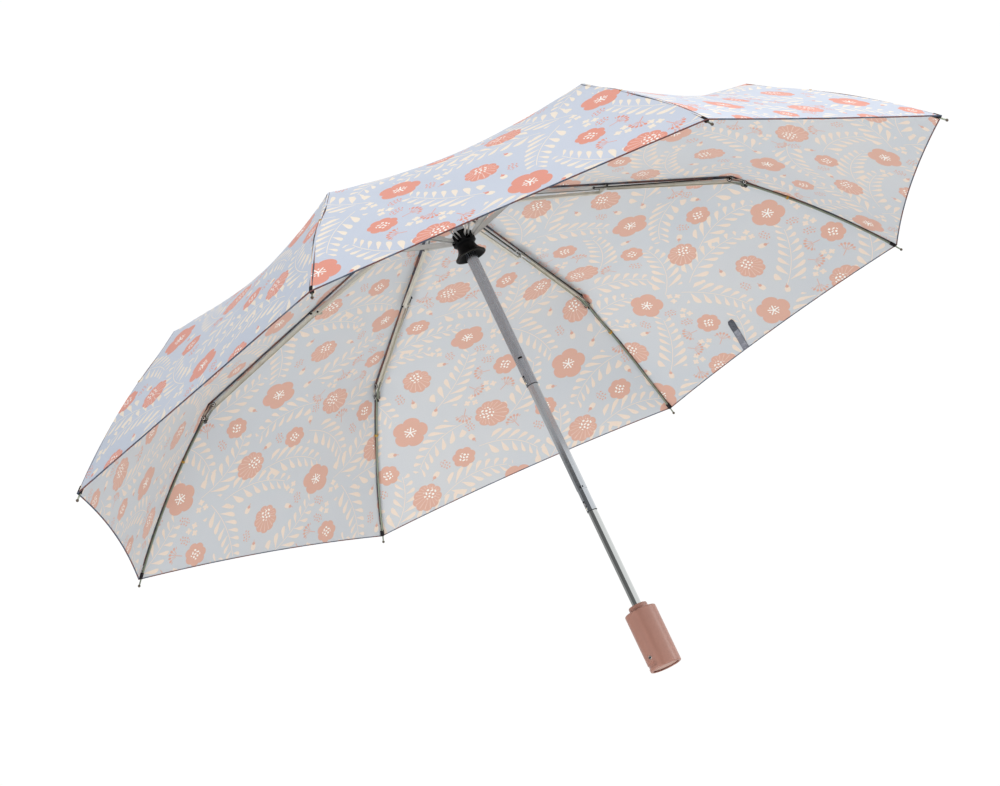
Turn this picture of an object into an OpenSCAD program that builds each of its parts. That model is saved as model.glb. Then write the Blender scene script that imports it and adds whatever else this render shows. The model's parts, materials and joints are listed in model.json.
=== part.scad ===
// Automatic folding umbrella: eight ribs in three sections, three-section shaft.
// It is drawn open. +Z runs up the shaft and the origin is the bottom of the handle.

/* [Handle] */
// Length of the handle
handle_len = 67.5; // [60:0.5:80]
// Outer radius of the grip
handle_r = 16.5; // [14:0.5:20]
// Radius of the stepped collar where the shaft enters
collar_r = 9.8; // [9:0.1:12]
// Wall of the grip shell
handle_wall = 2.4; // [1.6:0.1:3]
// Radius of the push button
button_r = 4.5; // [3.5:0.1:5.5]
// Height of the push button above the bottom of the handle
button_z = 44; // [36:1:48]
// Direction that the push button faces
button_az = 106; // [0:1:359]

/* [Shaft] */
// Outer radius of the round upper tube
upper_r = 6.05; // [5.8:0.05:6.1]
// Radius over the flats of the eight-sided middle tube
middle_r = 5.15; // [5:0.05:5.2]
// Radius over the flats of the eight-sided lower tube
lower_r = 4.4; // [4.2:0.05:4.45]
// Wall of every tube
tube_wall = 0.4; // [0.3:0.05:0.4]
// Bottom end of the middle tube
middle_z = 173; // [150:1:180]
// Bottom end of the upper tube
upper_z = 317.5; // [300:0.5:330]
// Length of the drawn-in neck at the bottom of the upper tube
upper_neck = 28; // [20:1:32]
// Length of the drawn-in neck at the bottom of the middle tube
middle_neck = 24; // [18:1:30]

/* [Crown and runner] */
// Height of the ribs' pivots in the crown
crown_z = 538.6; // [530:0.1:545]
// Radius of the ring of rib pivots
crown_pivot_r = 11; // [10.8:0.1:11.5]
// Outer radius of the crown
crown_r = 13.8; // [13.4:0.1:15]
// Drop from the rib pivots to the stretcher pivots, open
runner_drop = 48; // [46:0.5:50]
// Radius of the ring of stretcher pivots
runner_pivot_r = 10.2; // [10:0.1:10.6]
// Radius of the runner's collar
runner_r = 12.3; // [12:0.1:13]
// Radius of the bell at the bottom of the runner
bell_r = 16.5; // [14:0.5:18]

/* [Ribs] */
// Top rib, from its crown pivot to its outer pivot
top_len = 176.7; // [170:0.1:180]
// Angle of the top rib below the horizontal
top_drop = 11; // [10:0.1:12]
// Distance from the crown pivot to the stretcher's pivot on the top rib
stretcher_at = 75.4; // [70:0.1:80]
// Middle rib, from its inner pivot to its outer pivot
middle_len = 164; // [160:0.1:168]
// Angle of the middle rib below the horizontal
middle_drop = 12; // [11:0.1:13]
// Outer rib, along its curve from its pivot to the middle of its tip ball
outer_len = 193.3; // [180:0.1:196]
// Angle of the outer rib below the horizontal at its pivot
outer_drop = 32.7; // [30:0.1:34]
// Radius of the curve that the taut canopy bends the outer rib to
outer_bow = 730; // [600:10:1000]
// Tail of the outer rib, from its pivot to the rod's pivot
outer_tail = 17; // [15:0.5:18]

/* [Canopy] */
// How far the hem curves in between two tips, along the panel
hem_dip = 0.015; // [0:0.005:0.1]
// How far the middle of a panel sinks at the knee, below a straight line between two ribs
sag = 15; // [0:1:20]
// Thickness of the canopy solid
cloth = 1; // [0.8:0.1:1.2]

/* [Hidden] */
$fn = 64;
RIBS = 8;
RIB_PARTS = ["top_rib_", "stretcher_", "link_", "middle_rib_", "outer_rib_", "rod_"];

gap = 0.08;             // radial clearance of a running fit
eps = 0.01;             // overlap that joins two shapes of one solid
half = 180 / RIBS;      // half the angle between two ribs
sheet = 0.5;            // sheet that the channels are folded from
wire = 0.6;             // radius of the pivot rings and of the rods

// Cross-sections of the ribs, as half widths and heights about the pivot line
top_half = 1.5;
top_deep = 3;
fork_in = 1.75;         // inner face of the forks that straddle a top rib
fork_out = fork_in + sheet;
middle_deep = 3.4;
middle_skin = 0.2;
link_in = 2.9;          // the link lies beside the top rib
link_out = 6.1;
link_half = 1.6;
rod_y = -3.4;           // the rod lies on the other side
eye_r = 1.7;
lug_r = 1.8;            // end of the middle rib round its outer pivot
pin_r = 0.75;
j_pin_r = 0.85;         // pin of the stretcher's pivot on the top rib
outer_r = 1.1;          // radius of the outer rib
tip_wire = 0.8;         // radius of the bare wire that carries the tip ball
tip_len = 9;
ball_r = 1.5;
head = 2.65;            // half length of a rivet

// Heights
runner_z = crown_z - runner_drop;
lower_top = middle_z + middle_neck + 12;
middle_top = upper_z + upper_neck + 12;
collar_len = 6;
cap_recess = 1.5;
cap_t = 3;
handle_in = handle_r - handle_wall;

// Places in the plane of a rib, as [distance from the axis, height]
function polar(len, angle) = [len * cos(angle), len * sin(angle)];
function in_frame(origin, angle, p) = origin + polar(p[0], angle) + polar(p[1], angle + 90);
function angle_of(v) = atan2(v[1], v[0]);
C = [crown_pivot_r, crown_z];                                  // top rib on the crown
A = C + polar(top_len, -top_drop);                             // middle rib on the top rib
J = in_frame(C, -top_drop, [stretcher_at, -top_deep / 2]);     // stretcher on the top rib
S = [runner_pivot_r, runner_z];                                // stretcher on the runner
stretcher_len = norm(J - S);
stretcher_rise = angle_of(J - S);
link_back = 9;                                                 // from J to the link's pivot
K = J - polar(link_back, stretcher_rise);                      // link on the stretcher
tail = [-7.9, -4.95];
L = in_frame(A, -middle_drop, tail);                           // link on the middle rib
lug = 5;                                                       // drop of the middle rib's end
lug_back = 5;                                                  // how far before B that drop starts
B = in_frame(A, -middle_drop, [middle_len, -lug]);             // outer rib on the middle rib
D = B - polar(outer_tail, -outer_drop);                        // rod on the outer rib
rod_at = [top_len - 16.5, -2.3];
R = in_frame(C, -top_drop, rod_at);                            // rod on the top rib
outer_turn = outer_len / outer_bow * 180 / PI;
bow_middle = B + polar(outer_bow, -90 - outer_drop);

// --- helpers ---

module at_rib(i) { rotate([0, 0, (i - 1) * 360 / RIBS]) children(); }

// Local Z straight out from the shaft, at the given direction and height
module facing(az, z) { translate([0, 0, z]) rotate([0, 90, az]) children(); }

// Local X along the given angle in the plane of the rib, Y across it
module along(origin, angle) {
    translate([origin[0], 0, origin[1]]) rotate([0, -angle, 0]) children();
}

// Disc or pin across the rib, from y0 to y1
module across(r, y0, y1) {
    translate([0, y1, 0]) rotate([90, 0, 0]) cylinder(r = r, h = y1 - y0, $fn = 32);
}

module block(x0, x1, y0, y1, z0, z1) {
    translate([x0, y0, z0]) cube([x1 - x0, y1 - y0, z1 - z0]);
}

// Flat bar with a round end about each of its two pivots
module eye_bar(len, r, y0, y1) {
    across(r, y0, y1);
    translate([len, 0, 0]) across(r, y0, y1);
    block(0, len, y0, y1, -r, r);
}

// Helical spring on +Z, from z0 to z1
module coil(r, wire_r, z0, z1, turns, per_turn = 12, sides = 5) {
    rings = turns * per_turn;
    function ring_point(i, j) =
        let (a = 360 * i / per_turn, b = 360 * j / sides, q = r + wire_r * cos(b))
        [q * cos(a), q * sin(a), z0 + wire_r + (z1 - z0 - 2 * wire_r) * i / rings
            + wire_r * sin(b)];
    points = [for (i = [0:rings], j = [0:sides - 1]) ring_point(i, j)];
    walls = [for (i = [0:rings - 1], j = [0:sides - 1])
        let (k = (j + 1) % sides)
        [i * sides + j, (i + 1) * sides + j, (i + 1) * sides + k, i * sides + k]];
    polyhedron(points, concat(walls, [[for (j = [0:sides - 1]) j]],
        [[for (j = [sides - 1:-1:0]) rings * sides + j]]));
}

module ring(r, wire_r) {
    rotate_extrude() translate([r, 0]) circle(r = wire_r, $fn = 24);
}

module round_tube(r_out, r_in, z0, z1) {
    translate([0, 0, z0]) difference() {
        cylinder(r = r_out, h = z1 - z0);
        translate([0, 0, -1]) cylinder(r = r_in, h = z1 - z0 + 2);
    }
}

// Eight-sided tube, sized over its flats
module flat_tube(r_out, r_in, z0, z1) {
    translate([0, 0, z0]) linear_extrude(z1 - z0) rotate(half) difference() {
        circle(r = r_out / cos(half), $fn = 8);
        circle(r = r_in / cos(half), $fn = 8);
    }
}

// --- handle ---

button_mid = handle_in - 1;         // middle of the button's retaining flange
button_sunk = 0.3;                  // how far the button's rim lies below the grip's surface
module at_button() { facing(button_az, button_z) children(); }

eyelet_r = 1.2;                     // hole for the wrist strap
eyelet_z = 13;
eyelet_az = 246;
groove_half = 2;                    // shallow groove below it, where the strap lies
groove_deep = 1;
groove_end = [2.3, 1.3];            // radius and depth of the round dimple that ends it
groove_z = 5.6;
groove_from = 180;
groove_to = 254;

module handle_grip() {
    foot = 1.2;                     // rounding of the bottom edge
    step_z = handle_len - collar_len;
    bead = 1.5;                     // rounding of the shoulder and of the collar
    boss_r = 8;
    boss_z = 52;
    color([0.72, 0.50, 0.46]) difference() {
        union() {
            rotate_extrude($fn = 96) polygon(concat(
                [[handle_in, 0], [handle_r - foot, 0]],
                [for (a = [-60:30:0]) [handle_r - foot, foot] + polar(foot, a)],
                [for (a = [0:15:90]) [handle_r - bead, step_z - bead] + polar(bead, a)],
                [[collar_r + 0.8, step_z], [collar_r, step_z + 0.8]],
                [for (a = [0:15:90]) [collar_r - bead, handle_len - bead] + polar(bead, a)],
                [[lower_r + 1, handle_len], [lower_r + 1, step_z - 2],
                 [handle_in, step_z - 5]]));
            round_tube(boss_r, lower_r + 0.9, boss_z, handle_len - 2);
        }
        translate([0, 0, -1]) rotate(half)
            cylinder(r = (lower_r + eps) / cos(half), h = handle_len + 2, $fn = 8);
        at_button() cylinder(r = button_r + gap, h = handle_r + 2);
        facing(eyelet_az, eyelet_z) cylinder(r = eyelet_r, h = handle_r + 2, $fn = 32);
        rotate([0, 0, groove_from]) rotate_extrude(angle = groove_to - groove_from, $fn = 96)
            translate([handle_r - groove_deep, groove_z - groove_half])
                square([groove_deep + 1, 2 * groove_half]);
        facing(groove_to, groove_z) translate([0, 0, handle_r - groove_end[1]])
            cylinder(r = groove_end[0], h = groove_end[1] + 1, $fn = 32);
    }
}

module handle_end_cap() {
    color([0.63, 0.43, 0.40]) {
        translate([0, 0, cap_recess]) cylinder(r = handle_in, h = cap_t);
        round_tube(7, 5.2, cap_recess + cap_t - eps, cap_recess + cap_t + 6);
        flange_r = handle_in - 1.2;
        round_tube(flange_r, flange_r - 1.4, cap_recess + cap_t - eps, cap_recess + cap_t + 5);
    }
}

module push_button() {
    top = sqrt(pow(handle_r - button_sunk, 2) - pow(button_r, 2));   // its rim is just under the grip's surface
    foot = button_mid - 2.6;
    color([0.60, 0.40, 0.37]) at_button() {
        translate([0, 0, foot]) cylinder(r = button_r, h = top - foot);
        translate([0, 0, foot]) cylinder(r = button_r + 1.1, h = 2.2);
    }
}

module button_spring() {
    color("silver") at_button() coil(2.6, 0.35, lower_r + 0.35, button_mid - 2.65, 5);
}

// --- shaft ---

module lower_tube() {
    color([0.80, 0.82, 0.84])
        flat_tube(lower_r, lower_r - tube_wall, 10, lower_top);
}

module middle_tube() {
    neck_r = lower_r + gap;
    body_in = middle_r - tube_wall;
    color([0.62, 0.66, 0.70]) {
        flat_tube(neck_r + tube_wall, neck_r, middle_z, middle_z + middle_neck + eps);
        flat_tube(middle_r, neck_r, middle_z + middle_neck, middle_z + middle_neck + 1);
        flat_tube(middle_r, body_in, middle_z + middle_neck + 1 - eps, middle_top);
    }
}

module upper_tube() {
    neck_r = middle_r + gap;
    color([0.55, 0.57, 0.60]) {
        flat_tube(neck_r + tube_wall, neck_r, upper_z, upper_z + upper_neck + eps);
        translate([0, 0, upper_z + upper_neck]) difference() {
            cylinder(r = upper_r, h = 1);
            translate([0, 0, -1]) rotate(half) cylinder(r = neck_r / cos(half), h = 3, $fn = 8);
        }
        round_tube(upper_r, upper_r - tube_wall, upper_z + upper_neck + 1 - eps, crown_z + 2);
    }
}

module drive_spring() {
    color("gray") coil(3.1, 0.45, 20, crown_z + 2, 32);
}

// --- crown and runner ---

slot_top = 2.6;         // top of the crown's slots, above the rib pivots
crown_top = 5;

module crown() {
    core_r = 7.6;
    slot_w = 2 * top_half + 0.5;
    stud_r = 2.6;
    color([0.08, 0.08, 0.09]) translate([0, 0, crown_z]) {
        difference() {
            translate([0, 0, -5]) cylinder(r = crown_r, h = 5 + crown_top);
            translate([0, 0, -6]) cylinder(r = upper_r, h = 8);
            for (i = [1:RIBS]) at_rib(i)
                block(core_r, crown_r + 1, -slot_w / 2, slot_w / 2, -6, slot_top);
        }
        translate([0, 0, crown_top - eps]) cylinder(r = stud_r, h = 8.5);
        ring(crown_pivot_r, wire);
    }
}

module ferrule_cap() {
    color([0.10, 0.10, 0.11]) translate([0, 0, crown_z + crown_top + 3]) difference() {
        rotate_extrude() polygon(concat([[0, 0], [8.6, 0], [9, 0.5], [9, 1.6]],
            [for (a = [15:15:75]) [9 * cos(a), 1.6 + 6.2 * sin(a)]], [[0, 7.8]]));
        translate([0, 0, -1]) cylinder(r = 2.6 + eps, h = 6.6);
    }
}

module runner() {
    sleeve_r = 8.2;
    slot_w = 2 * fork_out + 0.6;
    collar_top = 5;
    collar_low = -6;
    foot = -21;
    neck_r = 9.7;
    flare = bell_r - neck_r;
    color([0.05, 0.05, 0.06]) translate([0, 0, runner_z]) {
        difference() {
            union() {
                rotate_extrude($fn = 96) polygon(concat(
                    [[upper_r + gap, -14], [upper_r + gap, 8], [sleeve_r, 8],
                     [sleeve_r, collar_top], [runner_r - 0.8, collar_top],
                     [runner_r, collar_top - 0.8], [runner_r, collar_low + 0.8],
                     [runner_r - 0.8, collar_low], [neck_r, collar_low - 1]],
                    [for (t = [0:0.125:1]) [neck_r + flare * t * t, -8 - 11.5 * t]],
                    [[bell_r, foot + 0.5], [bell_r - 0.5, foot], [bell_r - 2, foot]]));
            }
            for (i = [1:RIBS]) at_rib(i)
                block(sleeve_r, runner_r + 1, -slot_w / 2, slot_w / 2, collar_low + 1.5, 9);
        }
        ring(runner_pivot_r, wire);
    }
}

// --- ribs ---

module top_rib(i) {
    eye = 1.9;
    ring_hole = wire + 0.2;
    color([0.68, 0.69, 0.68]) at_rib(i) along(C, -top_drop) difference() {
        union() {
            difference() {
                block(0, top_len, -top_half, top_half, -top_deep, 0);
                block(4, top_len - 8, sheet - top_half, top_half - sheet,
                    -top_deep - 1, -sheet);
            }
            across(eye, -top_half, top_half);
            translate([top_len, 0, 0]) across(eye, -top_half, top_half);
            translate([top_len, 0, 0]) across(pin_r, -head, head);
            translate([stretcher_at, 0, -top_deep / 2]) across(j_pin_r, -top_half, top_half);
            translate([rod_at[0], 0, rod_at[1]]) across(0.6, -2.6, top_half);
        }
        across(ring_hole, -2, 2);
    }
}

module stretcher(i) {
    deep = 2.9;
    web = [11, stretcher_len - 20];
    ring_hole = wire + 0.35;
    color([0.66, 0.66, 0.62]) at_rib(i) along(S, stretcher_rise) difference() {
        union() {
            for (y = [-fork_out, fork_in])
                eye_bar(stretcher_len, 1.5, y, y + sheet);
            difference() {
                block(web[0], web[1], -fork_out, fork_out, 0, deep);
                block(web[0] - 1, web[1] + 1, -fork_in, fork_in, -1, deep - sheet);
            }
            translate([stretcher_len - link_back, 0, 0]) across(0.6, fork_in, 2.6);
        }
        across(ring_hole, -3, 3);
        translate([stretcher_len, 0, 0]) across(j_pin_r + gap, -3, 3);
    }
}

module link(i) {
    len = norm(L - K);
    color([0.74, 0.71, 0.62]) at_rib(i) along(K, angle_of(L - K)) difference() {
        union() {
            for (x = [0, len])
                translate([x, 0, 0]) across(link_half, link_in, link_out);
            difference() {
                block(0, len, link_in, link_out, -link_half, link_half);
                block(3, len - 3, link_in + sheet, link_out - sheet,
                    sheet - link_half, link_half + 1);
            }
        }
        across(0.9, 2, 7);
        translate([len, 0, 0]) across(pin_r + gap, 2, 7);
    }
}

module middle_rib(i) {
    web = [22, middle_len - 24];
    end = middle_len - lug_back;
    lug_top = -middle_skin - lug_r - 0.1;
    lug_run = [lug_back, lug + lug_top];
    color([0.76, 0.73, 0.64]) at_rib(i) along(A, -middle_drop) {
        difference() {
            union() {
                for (y = [-fork_out, fork_in]) {
                    block(0, end, y, y + sheet, -middle_deep, -middle_skin);
                    translate([end, 0, lug_top]) rotate([0, angle_of(lug_run), 0])
                        eye_bar(norm(lug_run), lug_r, y, y + sheet);
                    across(eye_r, y, y + sheet);
                    rotate([0, -angle_of(tail), 0]) eye_bar(norm(tail), eye_r, y, y + sheet);
                }
                block(web[0], web[1], -fork_out, fork_out, -middle_skin - sheet,
                    -middle_skin);
            }
            across(pin_r + gap, -3, 3);
            translate([middle_len, 0, -lug]) across(pin_r + gap, -3, 3);
        }
        translate([tail[0], 0, tail[1]]) across(pin_r, fork_in, link_out);
    }
}

module outer_rib(i) {
    bowed = outer_turn * (1 - tip_len / outer_len);
    color([0.50, 0.54, 0.50]) at_rib(i) {
        along(B, -outer_drop) {
            translate([-outer_tail, 0, 0]) eye_bar(outer_tail, 1.4, -1, 1);
            across(pin_r, -head, head);
            translate([-outer_tail, 0, 0]) across(wire, rod_y - 0.8, 0);
            translate([0, 0, -outer_bow]) rotate([90, 0, 0]) rotate([0, 0, 90 - bowed])
                rotate_extrude(angle = bowed, $fn = 720)
                    translate([outer_bow, 0]) circle(r = outer_r, $fn = 16);
        }
        along(bow_middle + polar(outer_bow, 90 - outer_drop - outer_turn),
              -outer_drop - outer_turn) {
            sphere(r = ball_r, $fn = 32);
            rotate([0, -90, 0]) cylinder(r = tip_wire, h = tip_len + 1, $fn = 32);
        }
    }
}

module rod(i) {
    len = norm(D - R);
    color([0.45, 0.45, 0.45]) at_rib(i) along(R, angle_of(D - R))
        translate([0, rod_y, 0]) difference() {
            union() {
                rotate([0, 90, 0]) cylinder(r = wire, h = len, $fn = 24);
                for (x = [0, len]) translate([x, 0, 0]) across(1.3, -wire, wire);
            }
            for (x = [0, len]) translate([x, 0, 0]) across(wire + gap, -2, 2);
        }
}

// --- canopy ---

// Underside of the cloth along a rib: over the crown, down to the joint above the
// outer rib's tail, then along the bowed outer rib to the tip
cloth_lift = 2.2;
knee = D + [5, 2.6];
function outer_seam(t) = bow_middle + polar(outer_bow + cloth_lift, t);
inner_seam = [[3.4, crown_z + crown_top + 1.2], [15, crown_z + crown_top + 0.6],
              A + [0, 3.6]];
knee_gap = 1.2;         // degrees of the outer rib's curve before the cloth follows it
tip_gap = 0.55;         // degrees of it left bare at the tip
seam_start = 90 - outer_drop - knee_gap;
seam_end = 90 - outer_drop - outer_turn + tip_gap;
OUTER_STEPS = 6;
seam = concat(
    [inner_seam[0], inner_seam[1]],
    [for (t = [0.33, 0.67, 1]) inner_seam[1] + (inner_seam[2] - inner_seam[1]) * t],
    [for (t = [0.33, 0.67, 1]) inner_seam[2] + (knee - inner_seam[2]) * t],
    [for (k = [0:OUTER_STEPS]) outer_seam(seam_start + (seam_end - seam_start) * k / OUTER_STEPS)]);

ACROSS = 6;             // strips across one panel
sag_lean = 24;          // slope of the cloth at the knee, which it sinks at right angles to
COLUMNS = RIBS * ACROSS;

// Point of the seam's curve, pulled in near the hem between two ribs
function seam_at(j, bay) =
    let (last = len(seam) - 1, x = j * (1 - hem_dip * bay * (j / last) * (j / last)),
         k = min(floor(x), last - 1))
    seam[k] + (seam[k + 1] - seam[k]) * (x - k);

// Share of the sag at a distance from the axis: none at the crown, all at the knee
hem_r = seam[len(seam) - 1][0];
function sag_share(r) =
    let (t = r / knee[0]) r < knee[0] ? t * t * (3 - 2 * t)
        : 1 - 0.75 * (r - knee[0]) / (hem_r - knee[0]);

function cloth_point(c, j, lift) =
    let (a = (c % ACROSS) / ACROSS * 2 * half - half,
         bay = 1 - pow(a / half, 2),
         p = seam_at(j, bay),
         sink = sag * bay * sag_share(p[0]),
         r = (p[0] * cos(half) - sink * sin(sag_lean)) / cos(a),
         az = c / ACROSS * 2 * half)
    [r * cos(az), r * sin(az), p[1] - sink * cos(sag_lean) + lift];

module canopy() {
    rows = len(seam);
    sheet_points = [for (lift = [0, cloth], c = [0:COLUMNS - 1], j = [0:rows - 1])
        cloth_point(c, j, lift)];
    top = COLUMNS * rows;
    function id(c, j) = (c % COLUMNS) * rows + j;
    faces = concat(
        [for (c = [0:COLUMNS - 1], j = [0:rows - 2])
            each [[id(c, j), id(c, j + 1), id(c + 1, j + 1)],
                  [id(c, j), id(c + 1, j + 1), id(c + 1, j)]]],
        [for (c = [0:COLUMNS - 1], j = [0:rows - 2])
            each [[top + id(c, j), top + id(c + 1, j + 1), top + id(c, j + 1)],
                  [top + id(c, j), top + id(c + 1, j), top + id(c + 1, j + 1)]]],
        [for (c = [0:COLUMNS - 1]) each [
            [id(c, 0), id(c + 1, 0), top + id(c + 1, 0), top + id(c, 0)],
            [id(c, rows - 1), top + id(c, rows - 1),
             top + id(c + 1, rows - 1), id(c + 1, rows - 1)]]]);
    color([0.76, 0.81, 0.87]) polyhedron(sheet_points, faces);
}

// --- what is drawn ---

handle_grip();
handle_end_cap();
push_button();
button_spring();
lower_tube();
middle_tube();
upper_tube();
drive_spring();
crown();
ferrule_cap();
runner();
canopy();
for (i = [1:RIBS]) {
    top_rib(i);
    stretcher(i);
    link(i);
    middle_rib(i);
    outer_rib(i);
    rod(i);
}
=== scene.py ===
"""Folding umbrella, drawn open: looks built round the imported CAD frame. Units are metres.

A "rib plane" below is a pair (distance from the shaft's axis, height). Rib i of the CAD model stands at
azimuth 45 * (i - 1) degrees, and panel i is the cloth between rib i and the next one.
"""

import json
import math

import bpy
import numpy as np
from mathutils import Matrix, Vector


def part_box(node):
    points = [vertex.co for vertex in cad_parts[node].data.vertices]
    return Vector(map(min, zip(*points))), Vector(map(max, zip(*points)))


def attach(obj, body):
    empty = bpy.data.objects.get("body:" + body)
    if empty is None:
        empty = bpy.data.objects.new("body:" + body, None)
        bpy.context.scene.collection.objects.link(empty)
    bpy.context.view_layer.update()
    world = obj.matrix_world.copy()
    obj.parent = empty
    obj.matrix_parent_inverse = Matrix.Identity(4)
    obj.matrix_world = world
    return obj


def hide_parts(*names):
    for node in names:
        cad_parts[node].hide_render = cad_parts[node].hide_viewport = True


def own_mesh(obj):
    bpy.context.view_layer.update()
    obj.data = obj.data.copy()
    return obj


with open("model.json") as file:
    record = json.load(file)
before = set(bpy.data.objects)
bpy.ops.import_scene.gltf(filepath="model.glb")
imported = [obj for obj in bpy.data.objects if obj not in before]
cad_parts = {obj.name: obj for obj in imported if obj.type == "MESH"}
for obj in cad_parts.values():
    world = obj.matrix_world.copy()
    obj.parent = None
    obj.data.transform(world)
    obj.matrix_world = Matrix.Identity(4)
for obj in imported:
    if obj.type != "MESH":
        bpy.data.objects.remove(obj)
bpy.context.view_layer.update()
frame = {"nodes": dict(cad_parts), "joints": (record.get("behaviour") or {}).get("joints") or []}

MM = 0.001
RIBS = 8
HALF = math.pi / RIBS  # half the angle between two ribs
JOINTS = {j["name"]: j for j in frame["joints"]}


# --- places taken from the frame ---


def joint_place(name):
    """A joint of rib 1 in its rib plane."""
    x, _, z = JOINTS[name]["pos_m"]
    return np.array([x, z])


def polar(length, degrees):
    return length * np.array([math.cos(math.radians(degrees)), math.sin(math.radians(degrees))])


CROWN = joint_place("canopy_fold")
ELBOW = joint_place("middle_rib_1_fold")
KNEE = joint_place("outer_rib_1_fold")
KNEE_TAIL = joint_place("rod_1_fold")
RUNNER = joint_place("stretcher_1_fold")
BALL_R = 1.5 * MM
tip_low, tip_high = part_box("outer_rib_1")
TIP = np.array([tip_high.x - BALL_R, tip_low.z + BALL_R])

# The outer rib is an arc that leaves the knee in line with its tail and ends at the tip
OUTER_DROP = -math.degrees(math.atan2(*(KNEE - KNEE_TAIL)[::-1]))
chord = TIP - KNEE
chord_drop = -math.degrees(math.atan2(*chord[::-1]))
OUTER_TURN = 2 * (chord_drop - OUTER_DROP)
BOW = np.linalg.norm(chord) / 2 / math.sin(math.radians(OUTER_TURN / 2))
BOW_MIDDLE = KNEE + polar(BOW, -90 - OUTER_DROP)


def outer_rib(t, lift=0.0):
    """A point of the outer rib, from 0 at the knee to 1 at the tip, lifted outwards."""
    return BOW_MIDDLE + polar(BOW + lift, 90 - OUTER_DROP - OUTER_TURN * t)


def in_space(i, place, side=0.0):
    """A point of rib i's plane, moved sideways, as a point in space."""
    a = 2 * HALF * (i - 1)
    r, z = place
    return Vector((r * math.cos(a) - side * math.sin(a), r * math.sin(a) + side * math.cos(a), z))


def sideways(i):
    a = 2 * HALF * (i - 1)
    return Vector((-math.sin(a), math.cos(a), 0))


# --- meshes ---


def make(name, points, faces, materials, face_slots=None, uv=None, normals=None):
    mesh = bpy.data.meshes.new(name)
    mesh.from_pydata([tuple(p) for p in points], [], [tuple(f) for f in faces])
    for material in materials if isinstance(materials, (list, tuple)) else [materials]:
        mesh.materials.append(material)
    mesh.polygons.foreach_set("use_smooth", [True] * len(mesh.polygons))
    if face_slots is not None:
        mesh.polygons.foreach_set("material_index", face_slots)
    if uv is not None:
        corner = np.zeros(len(mesh.loops), int)
        mesh.loops.foreach_get("vertex_index", corner)
        layer = mesh.uv_layers.new(name="print")
        layer.data.foreach_set("uv", np.asarray(uv, float)[corner].ravel())
    if normals is not None:
        mesh.normals_split_custom_set_from_vertices([tuple(n) for n in normals])
    mesh.update()
    piece = bpy.data.objects.new(name, mesh)
    bpy.context.scene.collection.objects.link(piece)
    return piece


def sweep(points, outline, up=(0, 0, 1)):
    """Points and faces of a closed tube: an outline, in (across, up) pairs, carried along points."""
    points = [Vector(p) for p in points]
    count, made = len(outline), []
    for k, p in enumerate(points):
        ahead = (points[min(k + 1, len(points) - 1)] - points[max(k - 1, 0)]).normalized()
        lift = Vector(up)
        if abs(ahead.dot(lift.normalized())) > 0.95:
            lift = Vector((1, 0, 0))
        across = ahead.cross(lift).normalized()
        lift = across.cross(ahead)
        made += [p + across * a + lift * b for a, b in outline]
    faces = []
    for k in range(len(points) - 1):
        for j in range(count):
            n = (j + 1) % count
            faces.append((k * count + j, k * count + n, (k + 1) * count + n, (k + 1) * count + j))
    faces.append(tuple(range(count - 1, -1, -1)))
    faces.append(tuple(range((len(points) - 1) * count, len(points) * count)))
    return made, faces


def circle(radius, sides):
    return [(radius * math.cos(2 * math.pi * k / sides), radius * math.sin(2 * math.pi * k / sides))
            for k in range(sides)]


def turned(origin, axis, profile, sides):
    """A solid of revolution round axis at origin, flat at both ends. The profile is (distance along axis,
    radius) pairs."""
    axis = Vector(axis).normalized()
    start = Vector((1, 0, 0)) if abs(axis.z) > 0.9 else Vector((0, 0, 1))
    e1 = axis.cross(start).normalized()
    e2 = axis.cross(e1)
    points, faces = [], []
    for along, radius in profile:
        for k in range(sides):
            a = 2 * math.pi * k / sides
            points.append(Vector(origin) + axis * along + (e1 * math.cos(a) + e2 * math.sin(a)) * radius)
    for r in range(len(profile) - 1):
        for k in range(sides):
            n = (k + 1) % sides
            faces.append((r * sides + k, (r + 1) * sides + k, (r + 1) * sides + n, r * sides + n))
    faces.append(tuple(range(sides)))
    faces.append(tuple((len(profile) - 1) * sides + k for k in range(sides - 1, -1, -1)))
    return points, faces


def dome(origin, axis, radius, height):
    """A rivet head: a low dome that stands on the plane at origin."""
    steps = [(-0.25 * height, radius), (0, radius)]
    steps += [(height * math.sin(math.radians(a)), radius * math.cos(math.radians(a)))
              for a in (30, 55, 75)]
    return turned(origin, axis, steps, 16)


def loop(center, axis, radius, wire, sides=20, wire_sides=6, turn=0.0):
    """A ring of wire round axis."""
    axis = Vector(axis).normalized()
    e1 = axis.cross(Vector((0, 0, 1)) if abs(axis.z) < 0.9 else Vector((1, 0, 0))).normalized()
    e2 = axis.cross(e1)
    points, faces = [], []
    for k in range(sides):
        a = 2 * math.pi * k / sides + turn
        out = e1 * math.cos(a) + e2 * math.sin(a)
        for j in range(wire_sides):
            b = 2 * math.pi * j / wire_sides
            points.append(Vector(center) + out * (radius + wire * math.cos(b)) + axis * wire * math.sin(b))
    for k in range(sides):
        for j in range(wire_sides):
            n, m = (k + 1) % sides, (j + 1) % wire_sides
            faces.append((k * wire_sides + j, n * wire_sides + j, n * wire_sides + m, k * wire_sides + m))
    return points, faces


# --- formulas in node trees ---


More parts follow.
